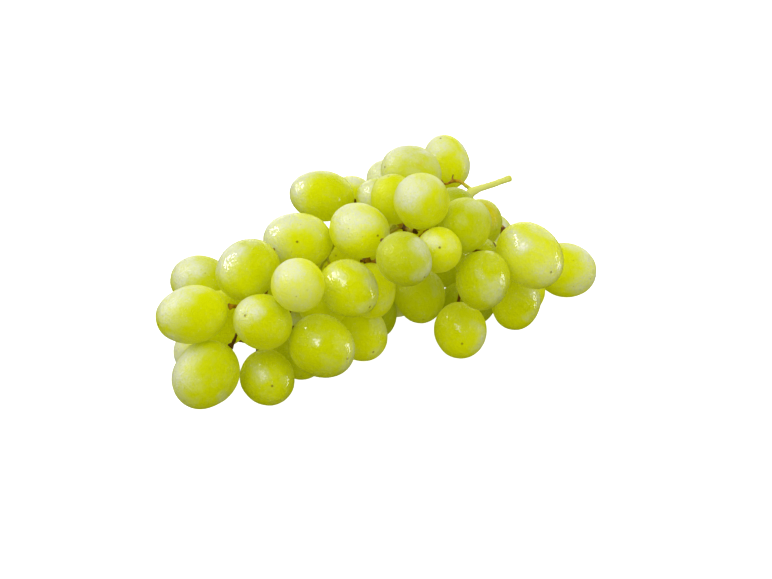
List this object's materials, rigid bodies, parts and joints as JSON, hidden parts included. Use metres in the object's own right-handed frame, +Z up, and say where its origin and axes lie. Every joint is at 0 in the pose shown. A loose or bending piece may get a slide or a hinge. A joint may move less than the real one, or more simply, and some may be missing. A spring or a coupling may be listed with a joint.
{
  "type": "bunch of grapes",
  "caption": "Bunch of white table grapes lying on its side, plump oval grapes on a branching green stem with a short cut stalk at one end.",
  "frame": {"origin": "middle of the bounding box, at the height of the flat spots the bunch rests on", "axes": "+X along the bunch's length towards the cut stalk, +Y across it towards the side turned away in the picture, +Z up"},
  "size_m": [0.1952, 0.123, 0.0865],
  "materials": {
    "grape_skin": "yellow-green translucent skin with a thin waxy bloom",
    "stem": "pale green woody stalk, browning towards the thin side stalks"
  },
  "bodies": {
    "root": {"grape_01": "grape_skin", "grape_02": "grape_skin", "grape_03": "grape_skin", "grape_04": "grape_skin", "grape_05": "grape_skin", "grape_06": "grape_skin", "grape_07": "grape_skin", "grape_08": "grape_skin", "grape_09": "grape_skin", "grape_10": "grape_skin", "grape_11": "grape_skin", "grape_12": "grape_skin", "grape_13": "grape_skin", "grape_14": "grape_skin", "grape_15": "grape_skin", "grape_16": "grape_skin", "grape_17": "grape_skin", "grape_18": "grape_skin", "grape_19": "grape_skin", "grape_20": "grape_skin", "grape_21": "grape_skin", "grape_22": "grape_skin", "grape_23": "grape_skin", "grape_24": "grape_skin", "grape_25": "grape_skin", "grape_26": "grape_skin", "grape_27": "grape_skin", "grape_28": "grape_skin", "grape_29": "grape_skin", "grape_30": "grape_skin", "grape_31": "grape_skin", "grape_32": "grape_skin", "grape_33": "grape_skin", "grape_34": "grape_skin", "grape_35": "grape_skin", "grape_36": "grape_skin", "grape_37": "grape_skin", "grape_38": "grape_skin", "grape_39": "grape_skin", "grape_40": "grape_skin", "grape_41": "grape_skin", "grape_42": "grape_skin", "grape_43": "grape_skin", "grape_44": "grape_skin", "grape_45": "grape_skin", "grape_46": "grape_skin", "grape_47": "grape_skin", "grape_48": "grape_skin", "grape_49": "grape_skin", "grape_50": "grape_skin", "grape_51": "grape_skin", "grape_52": "grape_skin", "grape_53": "grape_skin", "grape_54": "grape_skin", "grape_55": "grape_skin", "grape_56": "grape_skin", "grape_57": "grape_skin", "grape_58": "grape_skin", "stem": "stem"}
  },
  "joints": []
}
